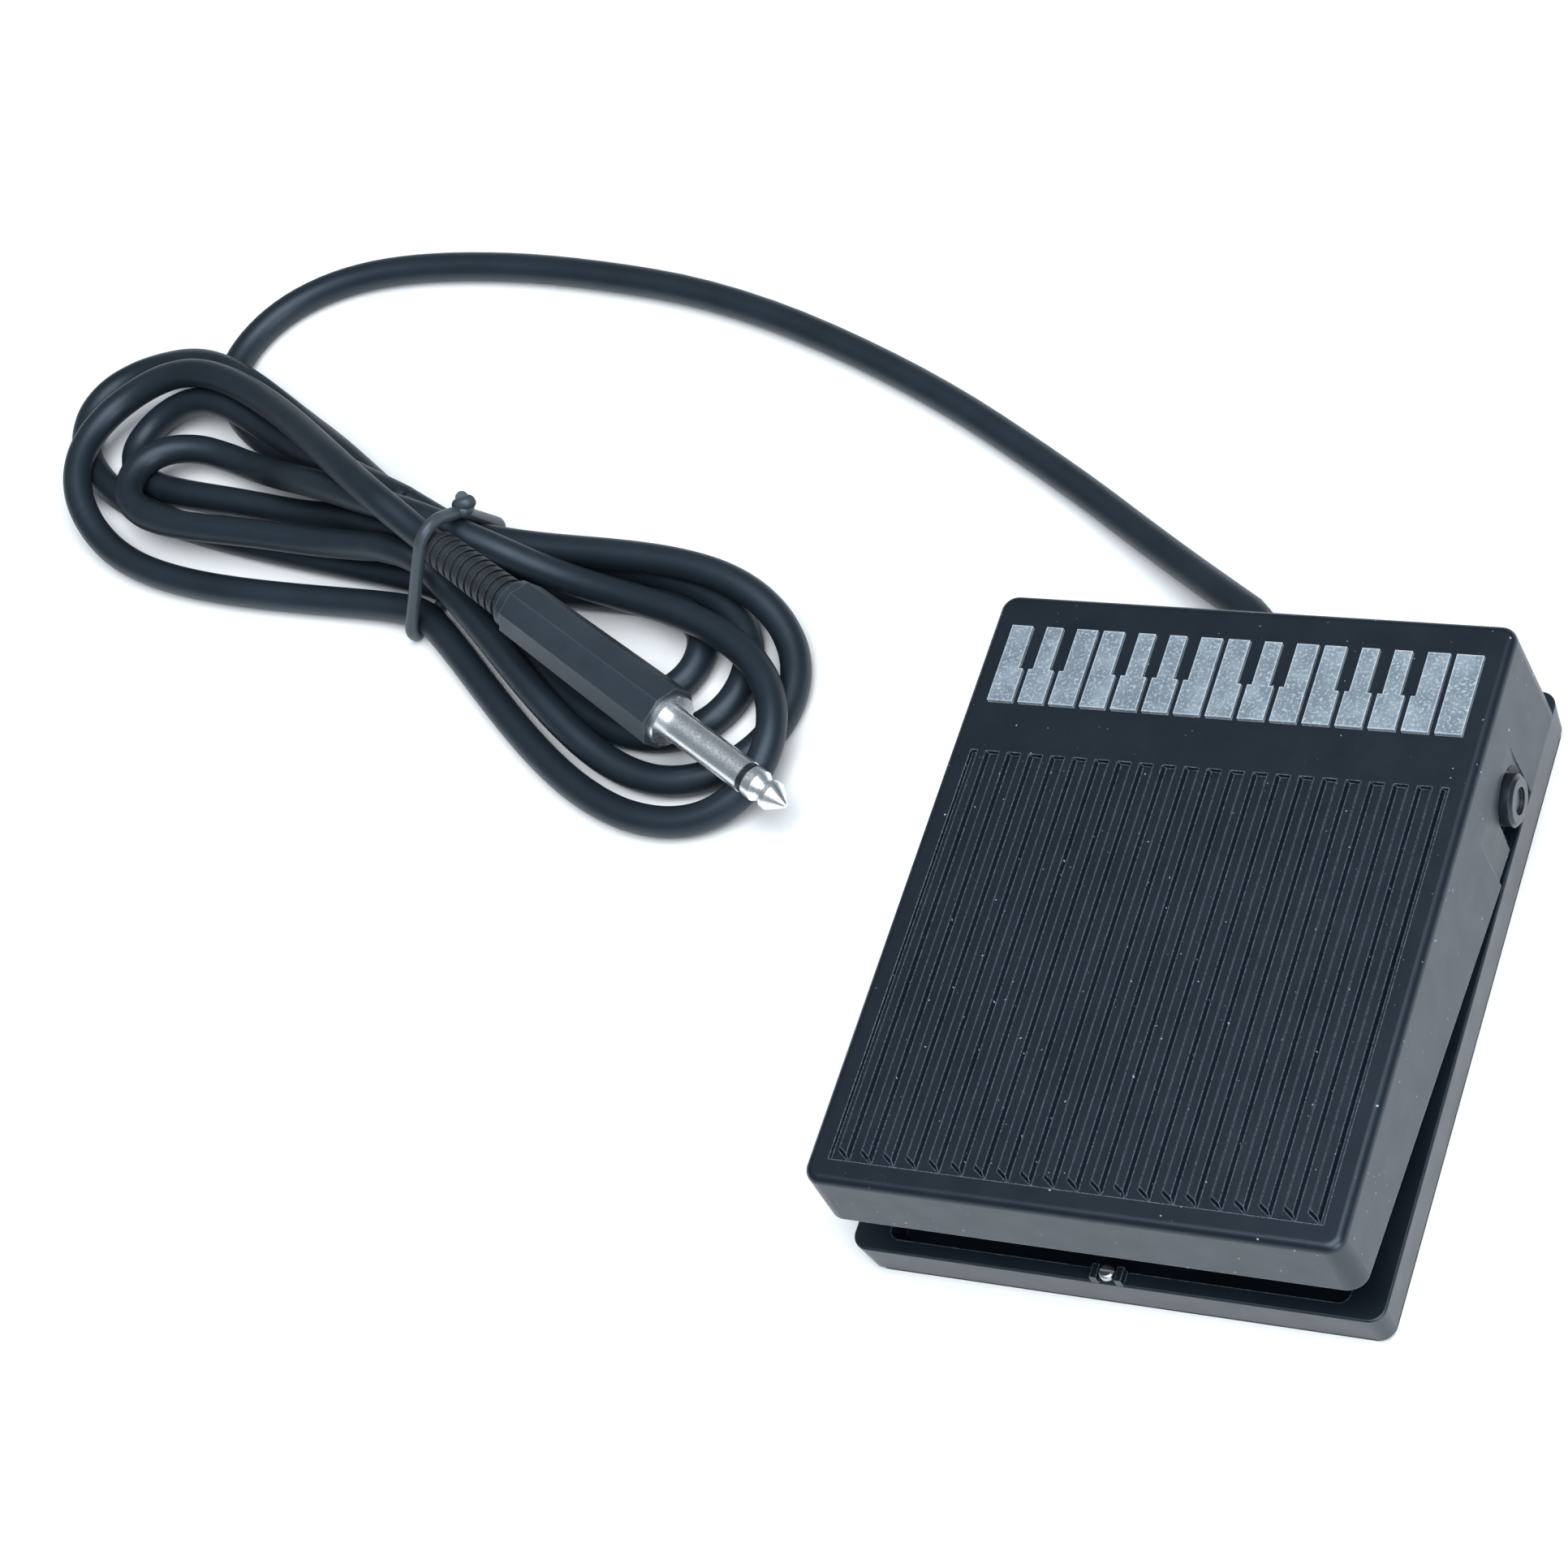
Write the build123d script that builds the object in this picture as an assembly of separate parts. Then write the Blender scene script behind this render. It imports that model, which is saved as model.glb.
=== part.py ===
from build123d import *
import math
import os

# Sustain pedal: a plastic treadle cover hinged near its rear edge on a low base tray, with a spring, a
# momentary switch, a two-core cord tied into a hank, and a 6.35 mm mono plug on the end of the cord.
# Millimetres. X is the width, +Y points to the rear where the cord leaves, +Z is up, and the origin is
# the bottom centre of the pedal's sole.

os.makedirs("parts", exist_ok=True)

# ---- driving dimensions -------------------------------------------------------------------------------
# base tray and sole
base_width = 95.0
base_length = 119.6
base_top = 9.0
base_corner = 3.0
base_draft = 5.0
rim_round = 0.4
sole_thickness = 1.0
sole_inset = 0.9
shell = 2.2
well_half_width = 41.0
well_front = -57.2
well_rear = 49.5
floor_top = sole_thickness + shell

# treadle cover
cover_top = 33.3
cover_half_width = 47.15
cover_front = -59.45
cover_rear = 57.0
cover_draft = 1.3
cover_corner = 3.0
cover_roof = 2.8
cover_edge_round = 1.5
rear_lip = 9.35
front_lip = 20.05

# ribbed field on the cover's top
rib_count = 21
field_half_width = 43.2
field_front = -55.2
field_rear = 24.6
rib_height = 0.9
rib_width = 2.5
rib_taper = 28.0
rib_skew = 1.8

# badge: a raised row of piano keys
badge_keys = 15
badge_half_width = 43.6
badge_front = 34.4
badge_depth = 15.6
badge_height = 0.8
key_gap = 1.1
sharp_width = 2.7
sharp_depth = 8.8
octave_gaps_with_sharp = (0, 1, 3, 4, 5)

# pivot
pivot_y = 33.3
pivot_z = 16.4
pin_shaft_radius = 2.5
pin_head_radius = 4.5
pin_head_face = 49.0
pin_running_gap = 0.06
throat_half_width = 4.1
lug_inner = 41.0
lug_outer = 44.6
panel_front = 20.0
panel_rear = 39.5
panel_top = 29.3
panel_depth = 0.35
stroke_degrees = 5.3

# parts between base and cover
spring_y = -28.0
spring_radius = 5.5
spring_wire = 1.2
spring_top = 27.5
spring_turns = 8
switch_y = -3.0
switch_bottom = 8.0
switch_body_top = 19.0
plunger_top = 24.0
plunger_radius = 2.5
plunger_foot = 14.2
plunger_boss_bottom = 24.3
stop_x = 30.0
stop_y = -44.0
stop_pillar_top = 8.5
stop_pad_top = 11.6
stop_boss_bottom = 19.4

# cord and its way out through the rear wall
cord_radius = 3.0
cord_x = -5.0
cord_z = 11.0
cord_inner_end = 47.0
clamp_y = 49.6
clamp_depth = 4.6
cord_block_front = 54.4
flange_front = 58.3
wire_radius = 0.8

# The cord's route from its stripped end inside the housing, out of the rear wall and down to the floor,
# then in one wide bend to the hank. The cord is limp.
cord_route = [
    (cord_x, cord_inner_end, cord_z),
    (cord_x, 70.3, cord_z),
    (-27.0, 83.0, 6.4),
    (-56.0, 99.8, 3.3),
    (-98.0, 124.5, 3.05),
    (-146.0, 145.0, 3.05),
    (-188.0, 150.8, 3.05),
    (-218.0, 151.3, 3.05),
    (-239.0, 149.0, 3.05),
    (-253.0, 140.8, 3.05),
    (-259.0, 126.0, 3.3),
    (-254.6, 110.0, 4.2),
]

# The hank's outer shape: stations along X with the centre's Y, the width, the height and the underside's
# height. The waist between the two lobes is where the tie holds the turns.
tie_front_x = -182.4
tie_rear_x = -185.2
waist_y = 74.0
waist_width = 27.0
waist_height = 21.0
waist_bottom = 1.8
hank_stations = [
    (-289.5, 101.0, 18.0, 8.0, 0.0),
    (-281.0, 97.0, 38.0, 12.0, 0.0),
    (-262.0, 94.0, 51.0, 13.0, 0.0),
    (-240.0, 90.0, 50.0, 13.0, 0.0),
    (-212.0, 82.5, 38.0, 16.0, 0.0),
    (tie_rear_x - 1.0, waist_y, waist_width, waist_height, waist_bottom),
    (tie_front_x + 1.0, waist_y, waist_width, waist_height, waist_bottom),
    (-160.0, 63.5, 41.0, 16.0, 0.0),
    (-136.0, 52.5, 56.0, 13.0, 0.0),
    (-114.0, 43.5, 54.0, 13.0, 0.0),
    (-101.0, 40.0, 38.0, 12.0, 0.0),
    (-93.5, 40.0, 18.0, 8.0, 0.0),
]
tie_thickness = 1.6

# plug, measured back from its tip
plug_tip = (-89.1, 23.7, 9.5)
plug_back = (-0.888, 0.4447, 0.1157)
plug_radius = 3.175
tip_length = 9.0
ring_end = 10.4
collar_front = 30.6
collar_radius = 5.2
shank_room = 5.4
handle_front = 32.0
handle_rear = 74.0
handle_front_radius = 6.5
handle_rear_radius = 5.8
handle_ring_radius = 5.0
relief_front = 76.0
relief_rear = 99.0
relief_ridges = 11

# ---- helpers ------------------------------------------------------------------------------------------


def rod(radius, low, high, x=0.0, y=0.0):
    return Pos(x, y, (low + high) / 2) * Cylinder(radius, high - low)


def block(x_range, y_range, z_range):
    size = [high - low for low, high in (x_range, y_range, z_range)]
    middle = [(high + low) / 2 for low, high in (x_range, y_range, z_range)]
    return Pos(*middle) * Box(*size)


def cross_rod(radius, inner_x, outer_x, y, z):
    """A cylinder along X between two X values, on either side of the pedal."""
    middle = (inner_x + outer_x) / 2
    return Pos(middle, y, z) * Rot(0, 90, 0) * Cylinder(radius, abs(outer_x - inner_x))


def long_rod(radius, front_y, rear_y, x, z):
    """A cylinder along Y."""
    return Pos(x, (front_y + rear_y) / 2, z) * Rot(90, 0, 0) * Cylinder(radius, rear_y - front_y)


def rounded_plate(width, length, corner, top_z, depth, draft, y=0.0):
    """A plate that grows or shrinks downward from top_z by the draft angle."""
    face_down = Plane(origin=(0, y, top_z), x_dir=(1, 0, 0), z_dir=(0, 0, -1))
    return extrude(face_down * RectangleRounded(width, length, corner), amount=depth, taper=draft)


def routed_rod(points, radius, bend_share=0.45):
    """A round rod along straight runs joined by arcs as large as the runs allow, and its length."""
    radii = []
    corners = [Vector(*point) for point in points]
    for before, corner, after in zip(corners, corners[1:], corners[2:]):
        run_in = corner - before
        run_out = after - corner
        half_turn = math.radians(run_in.get_angle(run_out)) / 2
        radii.append(bend_share * min(run_in.length, run_out.length) / math.tan(half_turn))
    path = FilletPolyline(*points, radius=radii)
    start = Plane(origin=path @ 0, z_dir=path % 0)
    return sweep(start * Circle(radius), path=path), path.length, radii


# ---- base ---------------------------------------------------------------------------------------------


def make_rubber_sole():
    return extrude(
        RectangleRounded(base_width - 2 * sole_inset, base_length - 2 * sole_inset, base_corner),
        amount=sole_thickness,
    )


def make_well():
    """The open well between the ledges, down to the floor."""
    length = well_rear - well_front
    middle_y = (well_rear + well_front) / 2
    return extrude(
        Plane.XY.offset(floor_top) * Pos(0, middle_y) * RectangleRounded(2 * well_half_width, length, 2.0),
        amount=base_top,
    )


def make_rear_ledge_cavity():
    """The hollow under the rear ledge, open downward."""
    return block(
        (-well_half_width, well_half_width),
        (well_rear + shell, base_length / 2 - shell - 0.8),
        (sole_thickness, base_top - shell),
    )


def make_pivot_lug(side):
    x_range = sorted((side * lug_inner, side * lug_outer))
    post = block(x_range, (pivot_y - 6.0, pivot_y + 6.0), (base_top - shell, pivot_z))
    crown = cross_rod(6.0, side * lug_inner, side * lug_outer, pivot_y, pivot_z)
    hole = cross_rod(pin_shaft_radius, side * (lug_inner - 1), side * (lug_outer + 1), pivot_y, pivot_z)
    return post + crown - hole


def make_cord_block():
    """The upstand on the rear rim that carries the grommet."""
    upstand = block((cord_x - 8.0, cord_x + 8.0), (cord_block_front, flange_front), (5.0, cord_z + 6.6))
    return fillet(upstand.edges().filter_by(Axis.Y).group_by(Axis.Z)[-1], 3.0)


def make_floor_posts():
    posts = rod(4.2, sole_thickness, floor_top + 5.0, 0, spring_y)
    posts += block((-14.0, 14.0), (switch_y - 6.0, switch_y + 6.0), (sole_thickness, switch_bottom))
    posts += block(
        (cord_x - 11.0, cord_x + 11.0),
        (clamp_y - clamp_depth / 2, clamp_y + clamp_depth / 2),
        (sole_thickness, cord_z),
    )
    for side in (-1, 1):
        posts += rod(5.0, sole_thickness, stop_pillar_top, side * stop_x, stop_y)
    return posts


def make_post_holes():
    holes = long_rod(cord_radius, clamp_y - clamp_depth, clamp_y + clamp_depth, cord_x, cord_z)
    for side in (-1, 1):
        holes += rod(2.0, stop_pillar_top - 3.0, stop_pillar_top, side * stop_x, stop_y)
        holes += rod(1.2, switch_bottom - 5.0, switch_bottom, side * 12.0, switch_y)
        holes += rod(1.4, cord_z - 7.0, cord_z, cord_x + side * 7.5, clamp_y)
    holes += rod(0.8, base_top - 2.0, base_top + 0.1, 0, -58.4)
    return holes


def make_front_cheeks():
    """Two small cheeks that guard the stop screw at the middle of the front rim."""
    cheeks = block((-2.8, -1.6), (-59.7, -57.1), (base_top - 1.0, base_top + 1.7))
    cheeks += block((1.6, 2.8), (-59.7, -57.1), (base_top - 1.0, base_top + 1.7))
    return cheeks


def make_base_tray():
    tray = rounded_plate(
        base_width, base_length, base_corner, base_top, base_top - sole_thickness, base_draft
    )
    tray = fillet(tray.faces().sort_by(Axis.Z)[-1].edges(), rim_round)
    tray -= make_well()
    tray -= make_rear_ledge_cavity()
    tray += make_pivot_lug(-1) + make_pivot_lug(1) + make_floor_posts() + make_front_cheeks()
    tray += make_cord_block()
    tray -= make_post_holes()
    tray -= long_rod(4.6, cord_block_front - 5.0, base_length / 2 + 1.0, cord_x, cord_z)
    tray -= long_rod(6.1, flange_front, base_length / 2 + 1.0, cord_x, cord_z)
    return tray


def make_hinge_pin(side):
    shaft = cross_rod(pin_shaft_radius, side * (lug_inner - 1.5), side * lug_outer, pivot_y, pivot_z)
    head = cross_rod(pin_head_radius, side * lug_outer, side * pin_head_face, pivot_y, pivot_z)
    outer_rim = head.edges().filter_by(GeomType.CIRCLE).sort_by(Axis.X)[-1 if side > 0 else 0]
    head = chamfer(outer_rim, 0.6)
    dish = cross_rod(2.4, side * (pin_head_face - 0.6), side * pin_head_face, pivot_y, pivot_z)
    return shaft + head - dish


# ---- treadle cover ------------------------------------------------------------------------------------


def make_cover_shell():
    width = 2 * cover_half_width
    length = cover_rear - cover_front
    middle_y = (cover_rear + cover_front) / 2
    depth = cover_top - rear_lip
    outer = rounded_plate(width, length, cover_corner, cover_top, depth, -cover_draft, middle_y)
    outer = fillet(outer.faces().sort_by(Axis.Z)[-1].edges(), cover_edge_round)
    inner = rounded_plate(
        width - 2 * shell, length - 2 * shell, 1.5, cover_top - cover_roof, depth, -cover_draft, middle_y
    )
    return outer - inner


def make_front_wedge():
    """What is cut away under the cover so that its lower edge climbs from the pivot to the front."""
    run = pivot_y - cover_front
    reach = run + 4.0
    climb = (front_lip - rear_lip) * reach / run
    profile = Polyline(
        (pivot_y, rear_lip),
        (pivot_y - reach, rear_lip + climb),
        (pivot_y - reach, rear_lip - 4.0),
        (pivot_y, rear_lip - 4.0),
        close=True,
    )
    return extrude(Plane.YZ * make_face(profile), amount=60, both=True)


def horseshoe(radius, half_width):
    """An arch over the pivot that runs straight down past the cover's lower edge."""
    return Pos(pivot_y, pivot_z) * Circle(radius) + Pos(pivot_y, pivot_z - 5.0) * Rectangle(2 * half_width, 10.0)


def make_pivot_opening(side):
    through = extrude(
        Plane.YZ.offset(side * 46.5) * horseshoe(pin_head_radius + pin_running_gap, throat_half_width),
        amount=4,
        both=True,
    )
    bevel = loft([
        Plane.YZ.offset(side * 48.6) * horseshoe(7.2, 7.2),
        Plane.YZ.offset(side * 46.1) * horseshoe(4.9, 4.9),
    ])
    return through + bevel


def make_side_panel(side):
    """A shallow rectangular step round the pivot opening, parallel with the drafted wall."""
    wall_x = cover_half_width + (cover_top - pivot_z) * math.tan(math.radians(cover_draft))
    panel = Box(4.0, panel_rear - panel_front, 2 * (panel_top - pivot_z))
    lean = Rot(0, side * cover_draft, 0)
    return Pos(side * (wall_x + 2.0 - panel_depth), (panel_front + panel_rear) / 2, pivot_z) * lean * panel


def make_ribs():
    """Ridges that stand in the recessed field; their front ends are cut on the skew."""
    pitch = 2 * field_half_width / rib_count
    floor = cover_top - rib_height
    outline = Polyline(
        (-rib_width / 2, field_rear + 1.0),
        (-rib_width / 2, field_front + 0.3 + rib_skew),
        (rib_width / 2, field_front + 0.3),
        (rib_width / 2, field_rear + 1.0),
        close=True,
    )
    rib = extrude(Plane.XY.offset(floor) * make_face(outline), amount=rib_height, taper=rib_taper)
    return [Pos(-field_half_width + (i + 0.5) * pitch, 0, 0) * rib for i in range(rib_count)]


def make_under_roof_bosses():
    roof = cover_top - cover_roof
    bosses = rod(7.6, spring_top, roof + 0.5, 0, spring_y)
    bosses += rod(4.2, spring_top - 4.0, roof, 0, spring_y)
    bosses += rod(3.0, plunger_boss_bottom, roof + 0.5, 0, switch_y)
    for side in (-1, 1):
        bosses += rod(4.5, stop_boss_bottom, roof + 0.5, side * stop_x, stop_y)
        bosses += block((side * 18.0 - 0.8, side * 18.0 + 0.8), (-56.0, 54.0), (roof - 3.5, roof + 0.5))
    for y in (-44.0, 12.0, 44.0):
        bosses += block((-44.0, 44.0), (y - 0.8, y + 0.8), (roof - 3.5, roof + 0.5))
    return bosses


def make_treadle_cover():
    cover = make_cover_shell()
    field_length = field_rear - field_front
    cover -= Pos(0, (field_rear + field_front) / 2, cover_top) * Box(
        2 * field_half_width, field_length, 2 * rib_height
    )
    cover += make_ribs()
    cover -= make_front_wedge()
    for side in (-1, 1):
        cover -= make_side_panel(side)
        cover -= make_pivot_opening(side)
    cover -= block((cord_x - 9.0, cord_x + 9.0), (cover_rear - 6.0, cover_rear + 4.0), (0.0, cord_z + 8.2))
    cover += make_under_roof_bosses()
    return cover


def make_badge_keys():
    """Raised white keys in a row, with the places of the black keys left open between them."""
    pitch = 2 * badge_half_width / badge_keys
    keys = []
    for i in range(badge_keys):
        left = -badge_half_width + i * pitch + key_gap / 2
        right = left + pitch - key_gap
        key = block((left, right), (badge_front, badge_front + badge_depth), (cover_top, cover_top + badge_height))
        for gap, gap_x in ((i - 1, left - key_gap / 2), (i, right + key_gap / 2)):
            if gap % 7 in octave_gaps_with_sharp and 0 <= gap < badge_keys - 1:
                key -= block(
                    (gap_x - sharp_width / 2, gap_x + sharp_width / 2),
                    (badge_front + badge_depth - sharp_depth, badge_front + badge_depth + 1),
                    (cover_top - 1, cover_top + 2),
                )
        keys.append(key)
    return Compound(children=[key.solid() for key in keys])


# ---- working parts ------------------------------------------------------------------------------------


def make_return_spring():
    low = floor_top + spring_wire / 2
    high = spring_top - spring_wire / 2
    path = Helix(pitch=(high - low) / spring_turns, height=high - low, radius=spring_radius)
    start = Plane(origin=path @ 0, z_dir=path % 0)
    return Pos(0, spring_y, low) * sweep(start * Circle(spring_wire / 2), path=path)


def make_switch_body():
    body = block((-9.0, 9.0), (switch_y - 5.0, switch_y + 5.0), (switch_bottom, switch_body_top))
    body = fillet(body.edges().filter_by(Axis.Z), 1.0)
    body += block((-14.0, 14.0), (switch_y - 4.0, switch_y + 4.0), (switch_bottom, switch_bottom + 2.0))
    body -= rod(plunger_radius + 0.05, switch_bottom + 2.0, switch_body_top, 0, switch_y)
    for side in (-1, 1):
        body -= rod(1.2, switch_bottom, switch_bottom + 2.0, side * 12.0, switch_y)
    return body


def make_switch_plunger():
    plunger = rod(plunger_radius, plunger_foot, plunger_top, 0, switch_y)
    return fillet(plunger.edges().filter_by(GeomType.CIRCLE).sort_by(Axis.Z)[-1], 1.2)


def make_pan_screw(shaft_radius, head_radius, head_height, seat, length, x, y):
    head = rod(head_radius, seat, seat + head_height, x, y)
    head = fillet(head.edges().filter_by(GeomType.CIRCLE).sort_by(Axis.Z)[-1], head_height * 0.45)
    slot = block((x - head_radius, x + head_radius), (y - 0.25, y + 0.25), (seat + head_height - 0.5, seat + 9))
    return head + rod(shaft_radius, seat - length, seat, x, y) - slot


def make_switch_terminals():
    tabs = []
    for side in (-1, 1):
        tab = block((side * 5.0 - 0.4, side * 5.0 + 0.4), (switch_y + 5.0, switch_y + 10.0), (11.0, 14.0))
        tabs.append(tab.solid())
    return Compound(children=tabs)


def make_screw_pair(pair):
    return Compound(children=[screw.solid() for screw in pair])


def make_switch_screws():
    return make_screw_pair(
        [make_pan_screw(1.2, 2.0, 1.4, switch_bottom + 2.0, 6.5, side * 12.0, switch_y) for side in (-1, 1)]
    )


def make_clamp_screws():
    return make_screw_pair(
        [make_pan_screw(1.4, 2.2, 1.6, cord_z + 2.4, 8.4, cord_x + side * 7.5, clamp_y) for side in (-1, 1)]
    )


def make_stop_screw():
    return make_pan_screw(0.8, 1.35, 1.1, base_top + 1.1, 3.0, 0, -58.4)


def make_stop_pads():
    pads = []
    for side in (-1, 1):
        pad = rod(5.4, stop_pillar_top, stop_pad_top, side * stop_x, stop_y)
        pad = fillet(pad.edges().filter_by(GeomType.CIRCLE).sort_by(Axis.Z)[-1], 0.8)
        pad += rod(2.0, stop_pillar_top - 3.0, stop_pillar_top, side * stop_x, stop_y)
        pads.append(pad.solid())
    return Compound(children=pads)


def make_cord_clamp():
    half = clamp_depth / 2
    strap = block((cord_x - 10.5, cord_x + 10.5), (clamp_y - half, clamp_y + half), (cord_z, cord_z + 2.4))
    strap += long_rod(cord_radius + 2.0, clamp_y - half, clamp_y + half, cord_x, cord_z)
    strap -= block((cord_x - 12, cord_x + 12), (clamp_y - 6, clamp_y + 6), (cord_z - 8, cord_z))
    strap -= long_rod(cord_radius, clamp_y - 6, clamp_y + 6, cord_x, cord_z)
    for side in (-1, 1):
        strap -= rod(1.4, cord_z, cord_z + 2.4, cord_x + side * 7.5, clamp_y)
    return strap


def make_cord_grommet():
    rear_face = base_length / 2
    sleeve = long_rod(4.6, cord_block_front - 1.5, flange_front, cord_x, cord_z)
    flange = long_rod(6.0, flange_front, rear_face, cord_x, cord_z)
    flange = fillet(flange.edges().filter_by(GeomType.CIRCLE).sort_by(Axis.Y)[-1], 0.6)
    return sleeve + flange - long_rod(cord_radius, cord_block_front - 5, rear_face + 5, cord_x, cord_z)


def make_lead_wire(side):
    """One insulated core, from the cord's stripped end to a terminal of the switch."""
    terminal_end = switch_y + 10.0
    points = [
        (cord_x + side * 1.3, cord_inner_end, cord_z),
        (cord_x + side * 1.3, 39.5, cord_z),
        (side * 5.0 - 2.0, 29.0, 7.0 + side),
        (side * 5.0, 17.5, 12.5),
        (side * 5.0, terminal_end, 12.5),
    ]
    return routed_rod(points, wire_radius)[0]


# ---- cord, hank and plug ------------------------------------------------------------------------------


def make_cord_tube():
    tube, length, radii = routed_rod(cord_route, cord_radius)
    section = math.pi * cord_radius**2
    print("cord tube length", round(length, 1), "volume ratio", round(tube.volume / (section * length), 4))
    print("cord bend radii", [round(radius, 1) for radius in radii])
    return tube


def rounded_section(x, y, width, height, bottom, grow=0.0):
    across = Plane(origin=(x, y, bottom + height / 2), x_dir=(0, 1, 0), z_dir=(1, 0, 0))
    corner = 0.46 * height
    return across * RectangleRounded(width + 2 * grow, height + 2 * grow, corner + grow)


def make_hank():
    """The turns as one body, with a trough where the plug's bare shank lies, so that a socket goes over it."""
    turns = loft([rounded_section(*station) for station in hank_stations], ruled=True)
    return turns - on_plug_axis(rod(shank_room, -1.0, handle_front))


def make_cord_tie():
    outer = rounded_section(tie_rear_x, waist_y, waist_width, waist_height, waist_bottom, tie_thickness)
    inner = rounded_section(tie_rear_x, waist_y, waist_width, waist_height, waist_bottom)
    band = extrude(outer - inner, amount=tie_front_x - tie_rear_x)
    return band


def on_plug_axis(shape):
    return Plane(origin=plug_tip, z_dir=plug_back).location * shape


def make_plug_tip():
    """The tip contact: a blunt cone, a flange, a waist and a short drum."""
    profile = Polyline(
        (0, 0),
        (0.5, 0),
        (2.9, 3.4),
        (2.9, 4.4),
        (2.2, 5.6),
        (3.1, 7.0),
        (3.1, tip_length),
        (0, tip_length),
        close=True,
    )
    return on_plug_axis(revolve(Plane.XZ * make_face(profile), Axis.Z))


def make_plug_insulator():
    return on_plug_axis(rod(3.0, tip_length, ring_end))


def make_plug_sleeve():
    return on_plug_axis(rod(plug_radius, ring_end, handle_front) + rod(collar_radius, collar_front, handle_front))


def make_plug_handle():
    grip = loft([
        Plane.XY.offset(handle_front) * RegularPolygon(handle_front_radius, 8),
        Plane.XY.offset(handle_rear) * RegularPolygon(handle_rear_radius, 8),
    ])
    return on_plug_axis(grip + rod(handle_ring_radius, handle_rear, relief_front))


def make_plug_strain_relief():
    """A tapered sleeve with ridges; it stiffens the cord behind the handle."""
    length = relief_rear - relief_front
    pitch = length / relief_ridges
    relief = Pos(0, 0, relief_front + length / 2) * Cone(3.6, 3.2, length)
    for i in range(relief_ridges):
        ridge_front = relief_front + i * pitch
        radius = 4.2 - 0.5 * i / relief_ridges
        relief += rod(radius, ridge_front, ridge_front + pitch * 0.55)
    return on_plug_axis(relief)


# ---- assembly and export ------------------------------------------------------------------------------

cord_tube = make_cord_tube()
tie = make_cord_tie()
plug_pieces = {
    "plug_tip": make_plug_tip(),
    "plug_insulator": make_plug_insulator(),
    "plug_sleeve": make_plug_sleeve(),
    "plug_handle": make_plug_handle(),
    "plug_strain_relief": make_plug_strain_relief(),
}
hank = make_hank() - cord_tube
for plug_piece in plug_pieces.values():
    hank -= plug_piece

nodes = {
    "rubber_sole": make_rubber_sole(),
    "base_tray": make_base_tray(),
    "hinge_pin_left": make_hinge_pin(-1),
    "hinge_pin_right": make_hinge_pin(1),
    "treadle_cover": make_treadle_cover(),
    "badge_keys": make_badge_keys(),
    "return_spring": make_return_spring(),
    "switch_body": make_switch_body(),
    "switch_plunger": make_switch_plunger(),
    "switch_terminals": make_switch_terminals(),
    "switch_screws": make_switch_screws(),
    "stop_pads": make_stop_pads(),
    "stop_screw": make_stop_screw(),
    "cord_grommet": make_cord_grommet(),
    "cord_clamp": make_cord_clamp(),
    "clamp_screws": make_clamp_screws(),
    "lead_wire_live": make_lead_wire(1),
    "lead_wire_return": make_lead_wire(-1),
    "cord_tube": cord_tube,
    "cord_hank": hank,
    "cord_tie": tie,
}
nodes.update(plug_pieces)

for name, shape in nodes.items():
    export_step(shape, f"parts/{name}.step")
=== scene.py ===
"""Looks of a compact sustain pedal with its tied cord and plug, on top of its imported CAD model."""

import math

import bpy
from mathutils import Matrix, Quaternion, Vector


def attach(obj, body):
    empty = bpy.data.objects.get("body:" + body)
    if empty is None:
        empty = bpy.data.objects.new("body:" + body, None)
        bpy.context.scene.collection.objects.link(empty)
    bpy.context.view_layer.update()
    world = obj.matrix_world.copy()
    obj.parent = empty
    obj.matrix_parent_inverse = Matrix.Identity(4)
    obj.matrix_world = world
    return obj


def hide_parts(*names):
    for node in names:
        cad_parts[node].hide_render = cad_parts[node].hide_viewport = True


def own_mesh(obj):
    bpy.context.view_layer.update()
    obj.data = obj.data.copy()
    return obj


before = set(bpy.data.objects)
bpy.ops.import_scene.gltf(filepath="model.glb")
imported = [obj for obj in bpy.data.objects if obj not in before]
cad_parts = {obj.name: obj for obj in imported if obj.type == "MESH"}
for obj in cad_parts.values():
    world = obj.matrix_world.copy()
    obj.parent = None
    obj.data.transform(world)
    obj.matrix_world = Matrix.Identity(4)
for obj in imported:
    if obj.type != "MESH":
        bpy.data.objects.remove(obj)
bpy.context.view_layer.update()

MM = 0.001

# ---- camera: metres and degrees, with the lens and its sensor in millimetres --------------------------

camera_place = Vector((0.27583, -0.31174, 0.59924))
camera_aim = Vector((-0.09698, 0.03371, 0.0))
camera_roll = -34.44
camera_lens = 97.62
camera_sensor = 36.0
nearest_seen = 0.05
farthest_seen = 20.0

# ---- cord, in millimetres -----------------------------------------------------------------------------

cord_diameter = 6.0

# The route from the stripped end inside the housing, out of the rear wall, and in one wide bend to the hank.
cord_route = [
    (-5.0, 47.0, 11.0),
    (-5.0, 67.0, 11.0),
    (-19.0, 76.2, 8.2),
    (-36.0, 87.5, 5.2),
    (-60.0, 103.4, 3.3),
    (-98.0, 124.8, 3.05),
    (-146.0, 143.6, 3.05),
    (-188.0, 149.6, 3.05),
    (-218.0, 150.0, 3.05),
    (-239.0, 146.5, 3.05),
    (-253.0, 138.0, 3.05),
    (-259.5, 126.0, 3.05),
]

# The hank is measured from its tie, along its own axis and across it.
tie_place = (-184.0, 72.5)
hank_axis = (0.939, -0.343)
hank_across = (0.343, 0.939)

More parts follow.
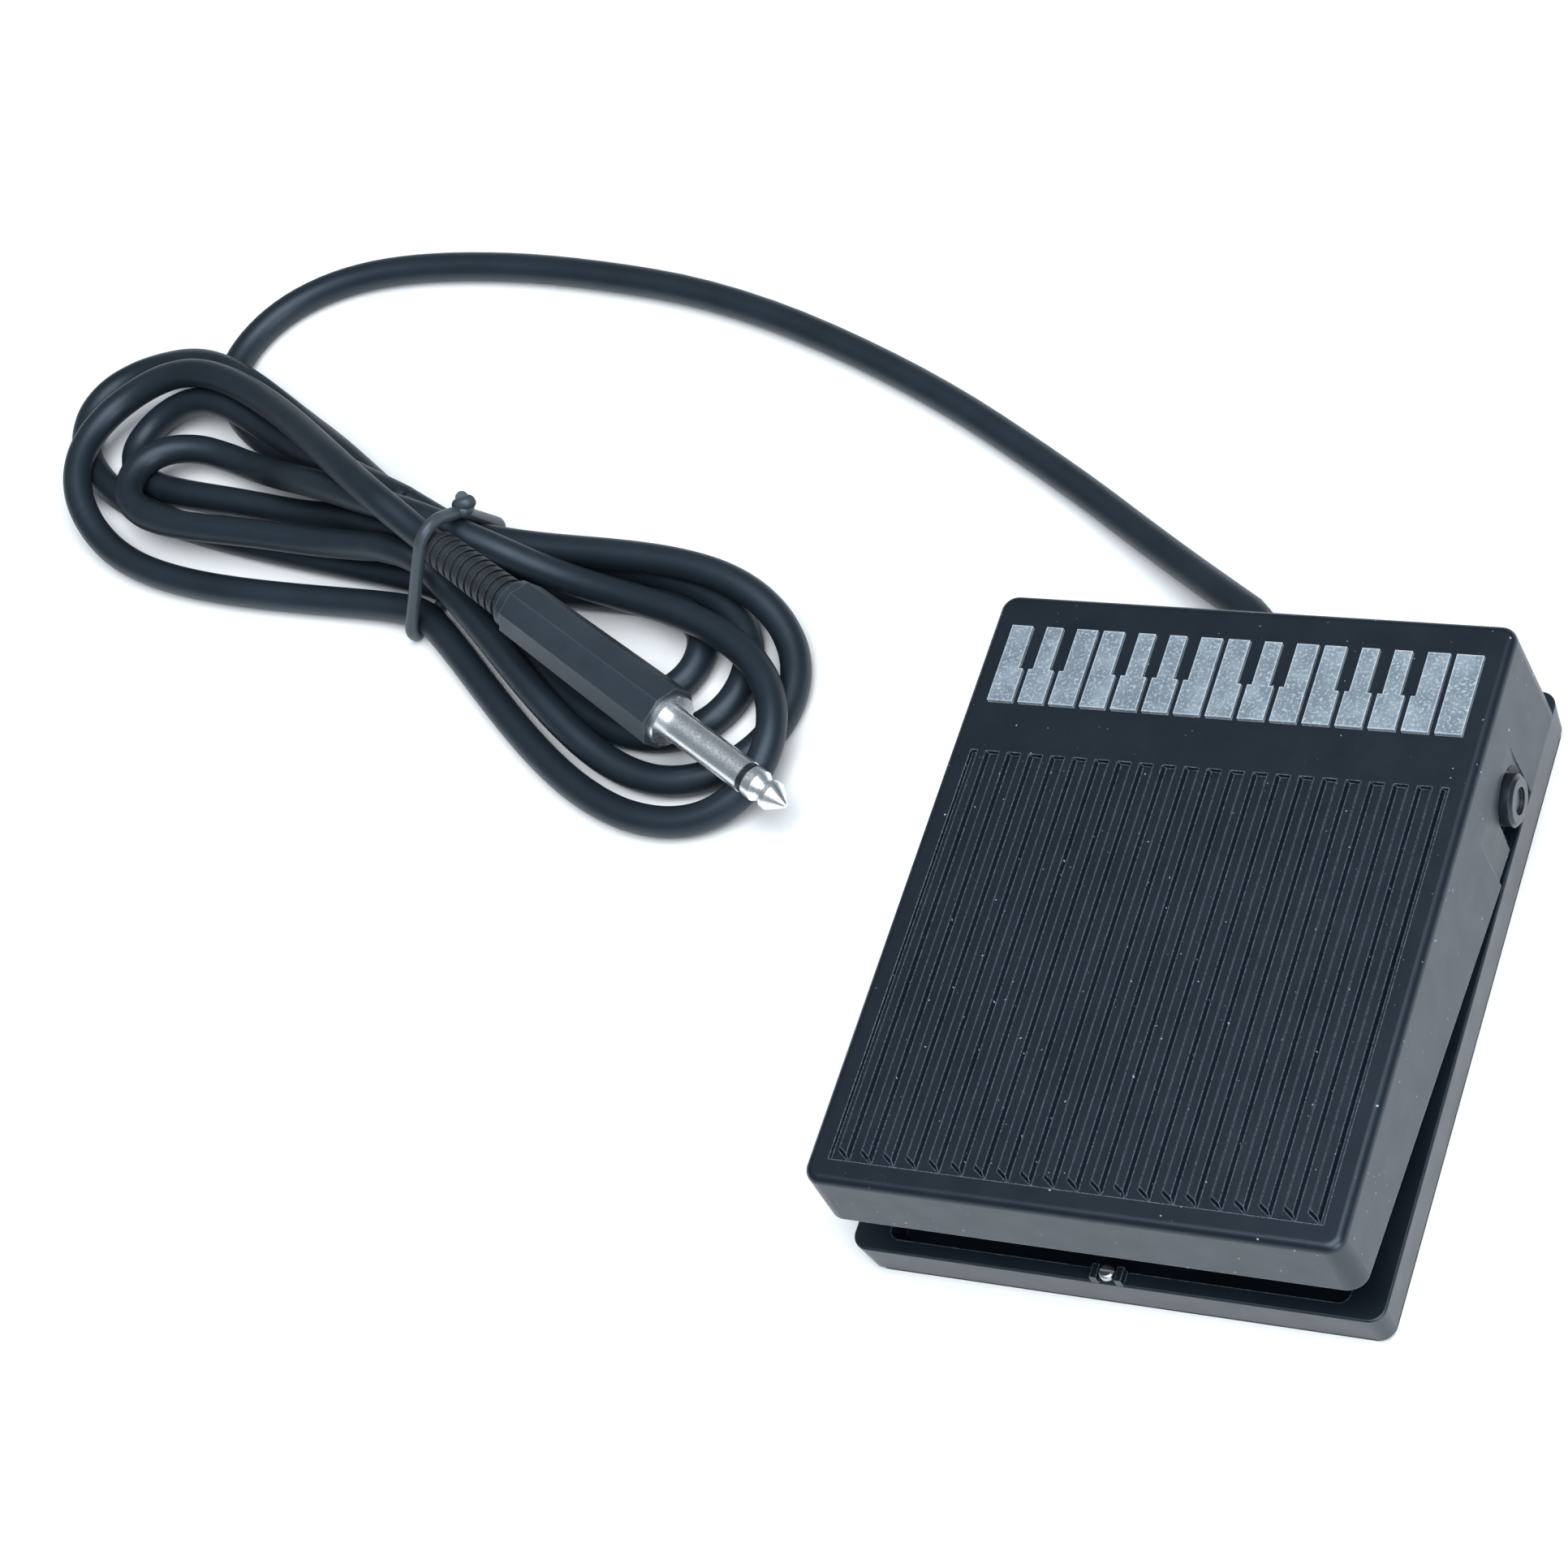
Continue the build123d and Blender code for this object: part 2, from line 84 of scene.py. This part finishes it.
# The first pass into the hank, from under its left lobe to the tie: along, across and height.
lead_in = [(-84.5, 14.5, 3.05), (-70.0, 8.0, 3.05), (-46.0, 7.5, 3.05), (-18.0, 8.5, 4.0)]

# Each turn of the hank: where it passes the tie going out and coming back, and for its right and left lobe
# the reach, the half width, the tilt and how blunt the fold is. The turns differ in size and fan out.
hank_turns = [
    {"out": 9.3, "back": -3.1, "right": (76.0, 13.0, 0.03, 0.7), "left": (113.0, 15.5, 0.0, 0.8)},
    {"out": 3.1, "back": 1.1, "right": (64.0, 9.5, 0.06, 0.5), "left": (95.0, 9.0, 0.035, 0.38)},
    {"out": 6.2, "back": -3.4, "right": (88.0, 18.5, 0.01, 0.8), "left": (85.0, 8.5, 0.13, 0.4)},
    {"out": 3.1, "back": -9.6, "right": (93.5, 16.0, -0.09, 0.8), "left": (102.5, 18.5, 0.065, 0.8)},
]

# Where the last turn crosses the tie's place, on its way into the plug.
last_pass = -1.0

# How the turns are drawn, and how they lie: centres about resting_gap apart, lifted a little inside the tie,
# and climbing over each other about as steeply as steepest_climb at most.
lobe_steps = 600
point_spacing = 7.0
places_between = 6
resting_gap = 5.7
tie_lift = 1.8
tie_reach = 14.0
steepest_climb = 0.42
smoothing_passes = 2

# The plug's axis, from its tip back to the cord. The cord's last points lie on it: behind the rear of the
# strain relief, at it, and inside.
plug_tip = Vector((-89.1, 23.7, 9.5))
plug_back = Vector((-0.888, 0.4447, 0.1157)).normalized()
relief_rear = 99.0
way_into_relief = (6.0, 0.0, -12.0)

# ---- tie, in millimetres ------------------------------------------------------------------------------

# The ring leans along the hank by tie_lean for each millimetre up.
tie_radius = 1.3
tie_lean = 0.33
rim_steps = 24
widest_bundle = 20.0
knot_height = 17.0

# The two ends leave the ring outwards, across the hank and up, and wind round each other. tail_swing is how
# far each winds from their middle, as a share of the wire's radius.
knot_outward = Vector((0.80, 0.60))
knot_sideways = Vector((-0.60, 0.80))
tail_length = 2.8
tail_steps = 8
tail_turns = 0.8
tail_swing = 0.9

# ---- return spring, in millimetres --------------------------------------------------------------------

spring_y = -28.0
spring_bottom = 3.2
spring_top = 27.5
spring_radius = 5.5
spring_wire = 1.2
spring_turns = 8
spring_steps = 16

# ---- finishes: sizes in millimetres, colours as plain red, green and blue -----------------------------

mottle_size = 14.0
smear_size = 6.0
speck_size = 0.9
speck_tone = (0.30, 0.36, 0.42)
cool_sheen = (0.72, 0.86, 1.0, 1.0)

# The match between a face's direction and the rounded one: the lighter edge tone, part wear and part painted
# highlight, is full at the first and gone at the second.
edge_match = (0.75, 0.995)

# ---- floor and light, in metres and watts -------------------------------------------------------------

floor_reach = 3.0
sky_colour = (0.80, 0.90, 1.0, 1.0)
sky_strength = 0.25
lamp_colour = (0.93, 0.97, 1.0)
softboxes = [
    {"name": "overhead", "place": (0.25, -0.15, 1.3), "aim": (-0.08, 0.03, 0.0), "side": 1.3, "power": 30.0},
    {"name": "front right", "place": (0.75, -0.55, 0.40), "aim": (0.0, 0.0, 0.0), "side": 0.5, "power": 6.0},
]


# ---- shared helpers -----------------------------------------------------------------------------------


def add_object(name, data):
    """Puts an object with that data in the scene."""
    added = bpy.data.objects.new(name, data)
    bpy.context.scene.collection.objects.link(added)
    return added


def aim_at(thing, place, target, roll=0.0):
    """Stands a camera or a light at a place and turns it towards a target, rolled by that many degrees."""
    thing.location = place
    thing.rotation_mode = "QUATERNION"
    level = (Vector(target) - Vector(place)).to_track_quat("-Z", "Y")
    thing.rotation_quaternion = level @ Quaternion((0.0, 0.0, 1.0), math.radians(roll))


def add_curve(name, points, smoothness, roundness):
    """A smooth open curve along points given in metres, with no thickness yet."""
    data = bpy.data.curves.new(name, "CURVE")
    data.dimensions = "3D"
    data.resolution_u = smoothness
    data.bevel_resolution = roundness
    data.use_fill_caps = True
    spline = data.splines.new("NURBS")
    spline.points.add(len(points) - 1)
    for control, place in zip(spline.points, points):
        control.co = (*place, 1.0)
    spline.order_u = 3
    spline.use_endpoint_u = True
    return add_object(name, data)


def curve_points(curve):
    """The points that a curve with no thickness follows."""
    mesh = bpy.data.meshes.new_from_object(curve)
    line = [vertex.co.copy() for vertex in mesh.vertices]
    bpy.data.meshes.remove(mesh)
    return line


def make_camera():
    """A long lens from the pedal's front right, rolled so that the pedal stands on its corner."""
    data = bpy.data.cameras.new("camera")
    data.lens = camera_lens
    data.sensor_width = camera_sensor
    data.clip_start = nearest_seen
    data.clip_end = farthest_seen
    camera = add_object("camera", data)
    aim_at(camera, camera_place, camera_aim, camera_roll)
    bpy.context.scene.camera = camera


# ---- cord and hank ------------------------------------------------------------------------------------


def hank_point(along, across):
    """A place on the floor, from its distance along and across the hank."""
    x = tie_place[0] + along * hank_axis[0] + across * hank_across[0]
    y = tie_place[1] + along * hank_axis[1] + across * hank_across[1]
    return (x, y)


def lead_in_points():
    """The first pass into the hank, in the pedal's own directions."""
    return [(*hank_point(along, across), height) for along, across, height in lead_in]


def evenly_spaced(line):
    """Points about point_spacing apart along a line, from its start to its end."""
    travelled = [0.0]
    for first, second in zip(line, line[1:]):
        travelled.append(travelled[-1] + math.dist(first, second))
    count = round(travelled[-1] / point_spacing)
    spaced = []
    for step in range(count + 1):
        wanted = travelled[-1] * step / count
        nearest = min(range(len(line)), key=lambda index: abs(travelled[index] - wanted))
        spaced.append(line[nearest])
    return spaced


def lobe(side, shape, start, end):
    """One lobe of a turn, out from the tie and back: side is 1 to the right and -1 to the left."""
    reach, half_width, tilt, blunt = shape
    line = []
    for step in range(lobe_steps + 1):
        angle = math.pi * step / lobe_steps
        along = side * reach * max(0.0, math.sin(angle)) ** blunt
        held = (start if angle < math.pi / 2 else end) * math.cos(angle) ** 2
        across = side * half_width * math.sin(2 * angle) + held + along * tilt
        line.append(hank_point(along, across))
    return evenly_spaced(line)


def places_along(line):
    """Close places on the straight ways between the points of a line."""
    places = []
    for first, second in zip(line, line[1:]):
        for step in range(places_between):
            part = step / places_between
            places.append([a + (b - a) * part for a, b in zip(first, second)])
    return places


def resting_height(x, y, laid):
    """How high the cord's centre is at a place, on the floor, in the tie or on the turns already there."""
    from_tie = math.hypot(x - tie_place[0], y - tie_place[1])
    height = cord_diameter / 2 + tie_lift * max(0.0, 1.0 - from_tie / tie_reach)
    for below in laid:
        apart = math.hypot(x - below[0], y - below[1])
        if apart < resting_gap:
            height = max(height, below[2] + math.sqrt(resting_gap**2 - apart**2))
    return height


def lay_down(line, laid):
    """Gives each point of a line its height, so that it lies on what is there and climbs in low humps."""
    heights = []
    for index, point in enumerate(line):
        around = line[max(0, index - 1) : index + 2]
        spots = [point, *places_along(around)]
        heights.append(max(resting_height(x, y, laid) for x, y in spots))
    for order in (range(1, len(line)), range(len(line) - 2, -1, -1)):
        for index in order:
            neighbour = index - order.step
            run = math.dist(line[index], line[neighbour])
            heights[index] = max(heights[index], heights[neighbour] - steepest_climb * run)
    for _ in range(smoothing_passes):
        before = [heights[0], *heights]
        after = [*heights[1:], heights[-1]]
        heights = [(low + 2 * middle + high) / 4 for low, middle, high in zip(before, heights, after)]
    return [(x, y, z) for (x, y), z in zip(line, heights)]


def hank_line():
    """The turns of the hank. Each lobe lies on the way in and on all lobes but the one it carries on from."""
    lobes = []
    for index, turn in enumerate(hank_turns):
        last = index + 1 == len(hank_turns)
        after = last_pass if last else hank_turns[index + 1]["out"]
        lobes.append(lobe(1, turn["right"], turn["out"], turn["back"]))
        lobes.append(lobe(-1, turn["left"], turn["back"], after))
    laid = places_along([*cord_route[-3:], *lead_in_points()])
    points = []
    newest = []
    for line in lobes:
        placed = lay_down(line, laid)
        points += placed[:-1]
        laid += newest
        newest = places_along(placed)
    return points


def cord_points():
    """Every control point of the cord: its route, the turns of the hank and the way into the plug."""
    points = [*cord_route, *lead_in_points(), *hank_line()]
    for back in way_into_relief:
        points.append(plug_tip + plug_back * (relief_rear + back))
    return points


def make_cord():
    """The whole cord as one smooth curve, and the line that its centre follows."""
    points = [(x * MM, y * MM, z * MM) for x, y, z in cord_points()]
    cord = add_curve("cord", points, smoothness=6, roundness=6)
    line = curve_points(cord)
    cord.data.bevel_depth = cord_diameter / 2 * MM
    cord.data.materials.append(jacket_material())
    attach(cord, "base")
    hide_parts("cord_tube", "cord_hank")
    return cord, line


# ---- tie round the hank -------------------------------------------------------------------------------


def cross_tie(line):
    """Where the cord crosses the tie's plane: across the hank and up, in metres."""
    axis = Vector((*hank_axis, 0.0))
    across = Vector((*hank_across, 0.0))
    middle = Vector((*tie_place, 0.0)) * MM
    spots = []
    for first, second in zip(line, line[1:]):
        before = (first - middle).dot(axis)
        after = (second - middle).dot(axis)
        if before * after > 0.0 or first == second:
            continue
        spot = first.lerp(second, before / (before - after)) - middle
        if abs(spot.dot(across)) < widest_bundle * MM:
            spots.append((spot.dot(across), spot.z))
    return spots


def hull(spots):
    """The convex outline round flat points, starting from the leftmost."""
    spots = sorted(spots)
    outline = []
    for row in (spots, spots[::-1]):
        side = []
        for spot in row:
            while len(side) > 1:
                (ax, ay), (bx, by) = side[-2], side[-1]
                if (bx - ax) * (spot[1] - ay) - (by - ay) * (spot[0] - ax) > 0.0:
                    break
                side.pop()
            side.append(spot)
        outline += side[:-1]
    return outline


def tie_ring(line):
    """The ring snug round the cords and clear of the floor, opened at the knot: across and up, in metres."""
    reach = (cord_diameter / 2 + tie_radius) * MM
    rims = []
    for across, up in cross_tie(line):
        for step in range(rim_steps):
            angle = math.tau * step / rim_steps
            rim_up = max(tie_radius * MM, up + reach * math.sin(angle))
            rims.append((across + reach * math.cos(angle), rim_up))
    ring = hull(rims)
    near_side = [index for index, (across, up) in enumerate(ring) if across > 0.0]
    knot = min(near_side, key=lambda index: abs(ring[index][1] - knot_height * MM))
    return ring[knot:] + ring[: knot + 1]


def tie_tail(end, turn):
    """One of the tie's twisted ends, from the ring outwards: across, up and along, in metres."""
    swing = tail_swing * tie_radius * MM
    tail = []
    for step in range(1, tail_steps + 1):
        angle = turn + math.tau * tail_turns * step / tail_steps
        out = knot_outward * (step * tail_length / tail_steps * MM)
        flat = Vector(end) + out + knot_sideways * (swing * math.cos(angle))
        tail.append((flat.x, flat.y, swing * math.sin(angle)))
    return tail


def make_tie(line):
    """A coated wire tie round the turns, its two ends twisted together on the side towards the rear."""
    ring = tie_ring(line)
    path = tie_tail(ring[0], 0.0)[::-1]
    path += [(across, up, 0.0) for across, up in ring]
    path += tie_tail(ring[-1], math.pi)
    points = []
    for across, up, along in path:
        along += tie_lean * up
        x = tie_place[0] * MM + across * hank_across[0] + along * hank_axis[0]
        y = tie_place[1] * MM + across * hank_across[1] + along * hank_axis[1]
        points.append((x, y, up))
    tie = add_curve("wire_tie", points, smoothness=4, roundness=5)
    tie.data.bevel_depth = tie_radius * MM
    tie.data.materials.append(
        grained("tie plastic", (0.030, 0.038, 0.046), (0.045, 0.055, 0.065), 0.40, 0.5, 0.015)
    )
    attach(tie, "base")
    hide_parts("cord_tie")
    return tie


# ---- return spring ------------------------------------------------------------------------------------


def make_spring():
    """The coil under the cover, built at one fixed length."""
    rise = (spring_top - spring_bottom - spring_wire) / (spring_turns * spring_steps)
    points = []
    for step in range(spring_turns * spring_steps + 1):
        angle = math.tau * step / spring_steps
        x = spring_radius * math.cos(angle)
        y = spring_y + spring_radius * math.sin(angle)
        z = spring_bottom + spring_wire / 2 + rise * step
        points.append((x * MM, y * MM, z * MM))
    coil = add_curve("spring_coil", points, smoothness=2, roundness=3)
    coil.data.bevel_depth = spring_wire / 2 * MM
    mesh = bpy.data.meshes.new_from_object(coil)
    bpy.data.objects.remove(coil)
    mesh.shade_smooth()
    mesh.materials.append(metal("spring steel", (0.42, 0.43, 0.45), 0.28, (1.0, 1.0, 6.0)))
    spring = add_object("pressed_spring", mesh)
    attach(spring, "base")
    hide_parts("return_spring")
    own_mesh(spring)


# ---- material helpers ---------------------------------------------------------------------------------


class Paint:
    """A material being built from nodes, on the object's own coordinates in metres."""

    def __init__(self, name):
        self.material = bpy.data.materials.new(name)
        self.material.use_nodes = True
        self.tree = self.material.node_tree
        self.shader = self.tree.nodes["Principled BSDF"]
        self.place = self.add("ShaderNodeTexCoord").outputs["Object"]

    def add(self, kind, **settings):
        node = self.tree.nodes.new(kind)
        for name, value in settings.items():
            setattr(node, name, value)
        return node

    def link(self, output, socket):
        self.tree.links.new(output, socket)

    def set(self, **values):
        """Sets plain values of the shader, named with _ for each space."""
        for name, value in values.items():
            self.shader.inputs[name.replace("_", " ")].default_value = value

    def noise(self, size, detail=4.0, stretch=None):
        """Noise whose lumps are about that size in millimetres."""
        node = self.add("ShaderNodeTexNoise")
        node.inputs["Scale"].default_value = 1.0 / (size * MM)
        node.inputs["Detail"].default_value = detail
        where = self.place
        if stretch:
            mapping = self.add("ShaderNodeMapping")
            mapping.inputs["Scale"].default_value = stretch
            self.link(where, mapping.inputs["Vector"])
            where = mapping.outputs["Vector"]
        self.link(where, node.inputs["Vector"])
        return node.outputs["Fac"]

    def spread(self, value, low_in, high_in, low_out, high_out):
        """Stretches the part of a value between two limits to two new limits."""
        node = self.add("ShaderNodeMapRange", clamp=True)
        self.link(value, node.inputs["Value"])
        bounds = (("From Min", low_in), ("From Max", high_in), ("To Min", low_out), ("To Max", high_out))
        for name, bound in bounds:
            node.inputs[name].default_value = bound
        return node.outputs["Result"]

    def mix(self, factor, first, second):
        """A colour between two; each is a colour or another node's output."""
        node = self.add("ShaderNodeMix", data_type="RGBA")
        self.link(factor, node.inputs[0])
        for socket, colour in ((node.inputs[6], first), (node.inputs[7], second)):
            if isinstance(colour, tuple):
                socket.default_value = (*colour, 1.0)
            else:
                self.link(colour, socket)
        return node.outputs[2]

    def times(self, first, second):
        """Two values multiplied."""
        node = self.add("ShaderNodeMath", operation="MULTIPLY")
        self.link(first, node.inputs[0])
        self.link(second, node.inputs[1])
        return node.outputs["Value"]

    def edges(self, radius):
        """Near 1 on edges and corners and 0 on flat faces, for wear and painted highlights along them."""
        bevel = self.add("ShaderNodeBevel", samples=4)
        bevel.inputs["Radius"].default_value = radius * MM
        normal = self.add("ShaderNodeNewGeometry").outputs["Normal"]
        turned = self.add("ShaderNodeVectorMath", operation="DOT_PRODUCT")
        self.link(bevel.outputs["Normal"], turned.inputs[0])
        self.link(normal, turned.inputs[1])
        return self.spread(turned.outputs["Value"], *edge_match, 1.0, 0.0)

    def bump(self, height, depth):
        """Raises the surface by up to that depth in millimetres."""
        node = self.add("ShaderNodeBump")
        node.inputs["Strength"].default_value = 1.0
        node.inputs["Distance"].default_value = depth * MM
        self.link(height, node.inputs["Height"])
        self.link(node.outputs["Normal"], self.shader.inputs["Normal"])

    def colour(self, output):
        self.link(output, self.shader.inputs["Base Color"])

    def roughness(self, output):
        self.link(output, self.shader.inputs["Roughness"])


def grained(name, dark, light, rough, grain, depth, edge_wear_and_highlight=None, edge_wear_and_highlight_radius=0.5, dusty=False):
    """Moulded plastic or rubber: mottled colour, a fine grain, and edges painted a lighter tone, partly as
    rub wear and partly as painted highlight.
    """
    paint = Paint(name)
    mottle = paint.spread(paint.noise(mottle_size), 0.25, 0.75, 0.0, 1.0)
    colour = paint.mix(mottle, dark, light)
    fine = paint.noise(grain, 3.0)
    # Lighter edges: rub wear and a painted highlight along the rounded edges, broken up by the fine grain.
    if edge_wear_and_highlight:
        rubbed_and_lit_edges = paint.times(paint.edges(edge_wear_and_highlight_radius), paint.spread(fine, 0.35, 0.6, 0.2, 1.0))
        colour = paint.mix(rubbed_and_lit_edges, colour, edge_wear_and_highlight)
    if dusty:
        specks = paint.spread(paint.noise(speck_size, 1.0), 0.76, 0.80, 0.0, 0.8)
        colour = paint.mix(specks, colour, speck_tone)
    paint.colour(colour)
    smear = paint.noise(smear_size, 5.0)
    paint.roughness(paint.spread(smear, 0.3, 0.7, rough - 0.03, rough + 0.03))
    paint.bump(fine, depth)
    paint.set(Specular_Tint=cool_sheen)
    return paint.material


def metal(name, colour, rough, brush=(1.0, 1.0, 1.0)):
    """Plated or drawn metal with fine turning marks and a few dull patches."""
    paint = Paint(name)
    dull = paint.spread(paint.noise(2.5), 0.4, 0.7, 0.0, 1.0)
    dulled = tuple(channel * 0.85 for channel in colour)
    paint.colour(paint.mix(dull, colour, dulled))
    marks = paint.noise(0.4, 5.0, stretch=brush)
    paint.roughness(paint.spread(marks, 0.3, 0.7, rough - 0.04, rough + 0.10))
    paint.set(Metallic=1.0)
    paint.bump(marks, 0.001)
    return paint.material


def jacket_material():
    """Soft PVC cord jacket: matt, faintly mottled, with a slight sheen."""
    return grained("cord jacket", (0.006, 0.010, 0.015), (0.011, 0.017, 0.024), 0.46, 0.6, 0.02)


def badge_material():
    """Silver hot-foil on the raised keys, blotched and speckled, with a painted highlight along their edges.
    """
    paint = Paint("badge silver")
    speckle = paint.spread(paint.noise(0.5, 2.0), 0.52, 0.70, 0.0, 1.0)
    blotch = paint.spread(paint.noise(4.0), 0.40, 0.65, 0.0, 1.0)
    silver = paint.mix(blotch, (0.17, 0.21, 0.25), (0.25, 0.30, 0.35))
    speckled = paint.mix(speckle, silver, (0.40, 0.46, 0.52))
    # Painted highlight: the keys' edges are lightened towards a pale silver.
    paint.colour(paint.mix(paint.edges(0.5), speckled, (0.62, 0.69, 0.75)))
    paint.roughness(paint.spread(paint.noise(1.2), 0.3, 0.7, 0.38, 0.55))
    paint.set(Metallic=0.35)
    paint.bump(paint.noise(0.5, 2.0), 0.03)
    return paint.material


# ---- materials of the CAD pieces ----------------------------------------------------------------------


def use(material, *nodes):
    """Gives CAD nodes a material in place of the one they came with."""
    for name in nodes:
        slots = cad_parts[name].data.materials
        slots.clear()
        slots.append(material)


def paint_pedal():
    """The housing, the pins, the rubber parts and the badge."""
    # On the cover the lighter edge tone is mostly painted highlight, the thin light lines along its rounded
    # edges and rib edges, with a little rub wear.
    cover = grained("cover plastic", (0.003, 0.005, 0.009), (0.006, 0.009, 0.014), 0.36, 0.35, 0.015,
                    edge_wear_and_highlight=(0.20, 0.25, 0.31), edge_wear_and_highlight_radius=0.35, dusty=True)
    base = grained("base plastic", (0.004, 0.007, 0.011), (0.008, 0.012, 0.018), 0.33, 0.5, 0.012,
                   edge_wear_and_highlight=(0.14, 0.18, 0.22), edge_wear_and_highlight_radius=0.35)
    pin = grained("pin plastic", (0.008, 0.010, 0.013), (0.014, 0.017, 0.021), 0.25, 0.5, 0.008,
                  edge_wear_and_highlight=(0.12, 0.14, 0.16), edge_wear_and_highlight_radius=0.3)
    sole = grained("sole rubber", (0.008, 0.009, 0.010), (0.015, 0.016, 0.018), 0.75, 0.8, 0.06)
    rubber = grained("soft rubber", (0.012, 0.013, 0.014), (0.020, 0.021, 0.023), 0.68, 0.5, 0.03)
    use(cover, "treadle_cover")
    use(base, "base_tray")
    use(pin, "hinge_pin_left", "hinge_pin_right")
    use(sole, "rubber_sole")
    use(rubber, "stop_pads", "cord_grommet")
    use(badge_material(), "badge_keys")


def paint_inside():
    """The screws, the switch, the clamp and the lead wires."""
    steel = metal("screw steel", (0.52, 0.53, 0.55), 0.30)
    brass = metal("terminal brass", (0.72, 0.53, 0.24), 0.30)
    switch = grained("switch plastic", (0.02, 0.02, 0.022), (0.035, 0.035, 0.038), 0.40, 0.4, 0.01)
    plunger = grained("plunger plastic", (0.55, 0.54, 0.50), (0.66, 0.65, 0.61), 0.35, 0.4, 0.01)
    clamp = grained("clamp plastic", (0.02, 0.02, 0.022), (0.032, 0.032, 0.035), 0.45, 0.4, 0.012,
                    edge_wear_and_highlight=(0.10, 0.11, 0.12))
    red = grained("red wire", (0.30, 0.015, 0.012), (0.42, 0.025, 0.018), 0.40, 0.3, 0.008)
    white = grained("white wire", (0.55, 0.55, 0.52), (0.68, 0.68, 0.64), 0.40, 0.3, 0.008)
    use(steel, "switch_screws", "clamp_screws", "stop_screw")
    use(brass, "switch_terminals")
    use(switch, "switch_body")
    use(plunger, "switch_plunger")
    use(clamp, "cord_clamp")
    use(red, "lead_wire_live")
    use(white, "lead_wire_return")


def paint_plug():
    """The plug's metal, its insulating ring, its handle and the strain relief."""
    nickel = metal("plug nickel", (0.94, 0.96, 0.98), 0.26, (1.0, 1.0, 5.0))
    ring = grained("ring plastic", (0.010, 0.011, 0.012), (0.018, 0.019, 0.020), 0.35, 0.3, 0.006)
    handle = grained("handle plastic", (0.013, 0.018, 0.024), (0.026, 0.034, 0.043), 0.42, 0.28, 0.06,
                     edge_wear_and_highlight=(0.13, 0.16, 0.19), edge_wear_and_highlight_radius=0.4)
    relief = grained("relief rubber", (0.010, 0.012, 0.014), (0.018, 0.021, 0.024), 0.50, 0.4, 0.012,
                     edge_wear_and_highlight=(0.11, 0.13, 0.15), edge_wear_and_highlight_radius=0.25)
    use(nickel, "plug_sleeve", "plug_tip")
    use(ring, "plug_insulator")
    use(handle, "plug_handle")
    use(relief, "plug_strain_relief")


# ---- floor and light ----------------------------------------------------------------------------------


def make_floor():
    """A wide, pale, matt floor, faintly uneven in tone."""
    data = bpy.data.meshes.new("floor")
    corners = [(x * floor_reach, y * floor_reach, 0) for x, y in ((-1, -1), (1, -1), (1, 1), (-1, 1))]
    data.from_pydata(corners, [], [(0, 1, 2, 3)])
    floor = add_object("floor", data)
    paint = Paint("pale floor")
    paint.colour(paint.mix(paint.noise(120.0, 3.0), (0.86, 0.87, 0.88), (0.90, 0.91, 0.92)))
    paint.set(Roughness=0.8, Specular_IOR_Level=0.2)
    data.materials.append(paint.material)


def make_softbox(name, place, aim, side, power):
    """A square area light of that side, turned towards the point it aims at."""
    data = bpy.data.lights.new(name, "AREA")
    data.shape = "RECTANGLE"
    data.size = side
    data.size_y = side
    data.energy = power
    data.color = lamp_colour
    aim_at(add_object(name, data), place, aim)


def make_lights():
    """A dim cool sky and two softboxes, shown with plain contrast."""
    world = bpy.data.worlds.new("studio")
    world.use_nodes = True
    sky = world.node_tree.nodes["Background"]
    sky.inputs["Color"].default_value = sky_colour
    sky.inputs["Strength"].default_value = sky_strength
    bpy.context.scene.world = world
    for box in softboxes:
        make_softbox(**box)
    bpy.context.scene.view_settings.view_transform = "Standard"


# ---- assembly -----------------------------------------------------------------------------------------

make_camera()
make_floor()
make_lights()
paint_pedal()
paint_inside()
paint_plug()
cord, cord_line = make_cord()
tie = make_tie(cord_line)
make_spring()
